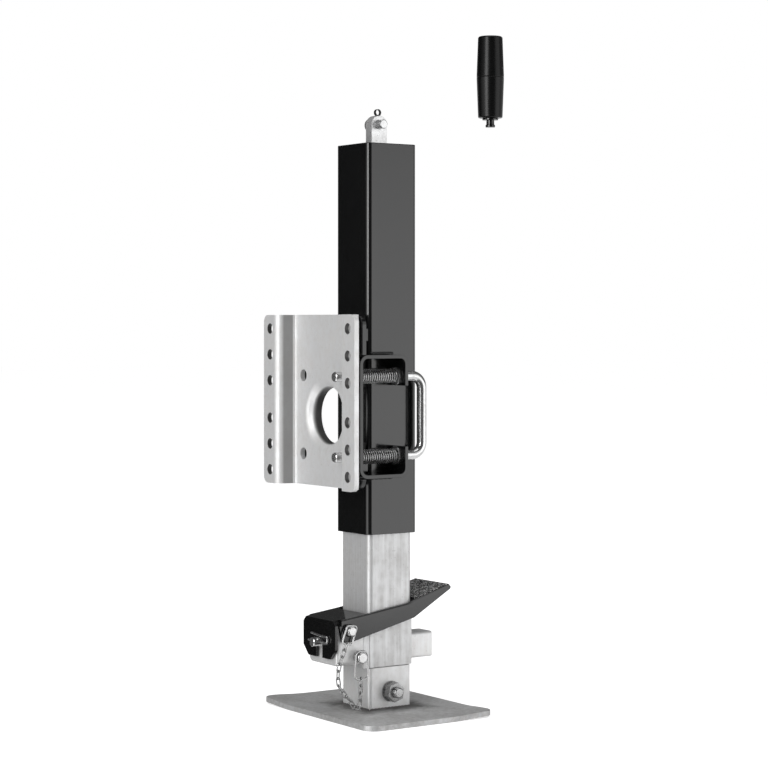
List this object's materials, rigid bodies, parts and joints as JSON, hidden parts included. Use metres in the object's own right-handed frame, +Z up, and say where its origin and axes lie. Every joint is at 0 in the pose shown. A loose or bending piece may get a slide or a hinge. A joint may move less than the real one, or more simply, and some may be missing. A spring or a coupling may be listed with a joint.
{
  "type": "trailer stand",
  "caption": "Side-mount trailer stand with a top crank, a swivelling bolt-on plate, a sprung lock handle, and a drop leg released by a foot lever.",
  "frame": {"origin": "centre of the foot plate's sole, under the leg's axis, with the stand upright and retracted", "axes": "+Z up along the leg, +X from the mount plate towards the pedal and crank arm, -Y towards the lock handle's side"},
  "size_m": [0.2316, 0.195, 0.6674],
  "materials": {
    "black_paint": "gloss powder coat",
    "zinc": "zinc plated, satin",
    "bright_zinc": "bright zinc plated",
    "pin_steel": "ground, oiled",
    "foot_steel": "grey zinc plated, satin",
    "grip_plastic": "satin",
    "grit": "grit coated"
  },
  "bodies": {
    "jack": {"outer_tube": "black_paint", "top_cap": "black_paint", "bearing_upper_race": "pin_steel", "bearing_balls": "pin_steel", "back_plate": "black_paint", "stand_offs": "black_paint", "lock_frame": "black_paint", "spring_seats": "bright_zinc", "lock_springs": "bright_zinc"},
    "mount": {"mount_plate": "zinc", "collar_ring": "zinc"},
    "handle": {"lock_handle": "bright_zinc", "handle_cross_pins": "bright_zinc"},
    "screw": {"lead_screw": "pin_steel", "bearing_lower_race": "pin_steel", "crank_pin": "bright_zinc"},
    "crank": {"crank_arm": "black_paint", "grip_spindle": "bright_zinc"},
    "grip": {"crank_grip": "grip_plastic"},
    "ram": {"ram_tube": "zinc", "ram_nut": "pin_steel", "lock_collar": "zinc", "lock_housing": "zinc", "stop_stub": "zinc", "pivot_pin": "bright_zinc", "keeper_pin": "bright_zinc", "pivot_bail": "bright_zinc", "keeper_bail": "bright_zinc", "chain": "bright_zinc", "plunger_spring": "bright_zinc"},
    "leg": {"drop_tube": "zinc", "foot_boot": "zinc", "foot_plate": "foot_steel", "boot_bolt": "bright_zinc", "boot_nut": "bright_zinc", "boot_washer": "bright_zinc"},
    "pedal": {"foot_lever": "black_paint", "tread_pad": "grit"},
    "plunger": {"lock_plunger": "bright_zinc", "plunger_clip": "bright_zinc"}
  },
  "joints": [
    {"name": "plate_swivel", "type": "hinge", "parent": "jack", "child": "mount", "pos_m": [-0.0575, 0, 0.2885], "axis": [1, 0, 0], "range_deg": [-1, 1]},
    {"name": "handle_pull", "type": "slide", "parent": "jack", "child": "handle", "axis": [1, 0, 0], "range_m": [0, 0.0195], "stiffness_N_per_m": 700, "springref_m": -0.02, "deforming": ["lock_springs"]},
    {"name": "crank_spin", "type": "hinge", "parent": "jack", "child": "screw", "pos_m": [0, 0, 0.571], "axis": [0, 0, -1], "range_deg": [0, 18000]},
    {"name": "crank_fold", "type": "hinge", "parent": "screw", "child": "crank", "pos_m": [0, 0, 0.571], "axis": [0, -1, 0], "range_deg": [0, 180]},
    {"name": "grip_spin", "type": "hinge", "parent": "crank", "child": "grip", "pos_m": [0.1388, 0, 0.6262], "axis": [0, 0, 1], "continuous": true},
    {"name": "ram_slide", "type": "slide", "parent": "jack", "child": "ram", "axis": [0, 0, -1], "range_m": [0, 0.254]},
    {"name": "leg_drop", "type": "slide", "parent": "ram", "child": "leg", "axis": [0, 0, -1], "range_m": [0, 0.2]},
    {"name": "pedal_press", "type": "hinge", "parent": "ram", "child": "pedal", "pos_m": [-0.0502, 0, 0.0842], "axis": [0, 1, 0], "range_deg": [0, 20]},
    {"name": "plunger_draw", "type": "slide", "parent": "ram", "child": "plunger", "axis": [-1, 0, 0], "range_m": [0, 0.006], "stiffness_N_per_m": 1500, "springref_m": -0.012, "deforming": ["plunger_spring"]}
  ],
  "couplings": [
    {"joint": "ram_slide", "follows": "crank_spin", "m_per_rad": 0.00080851},
    {"joint": "plunger_draw", "follows": "pedal_press", "m_per_rad": 0.017}
  ]
}
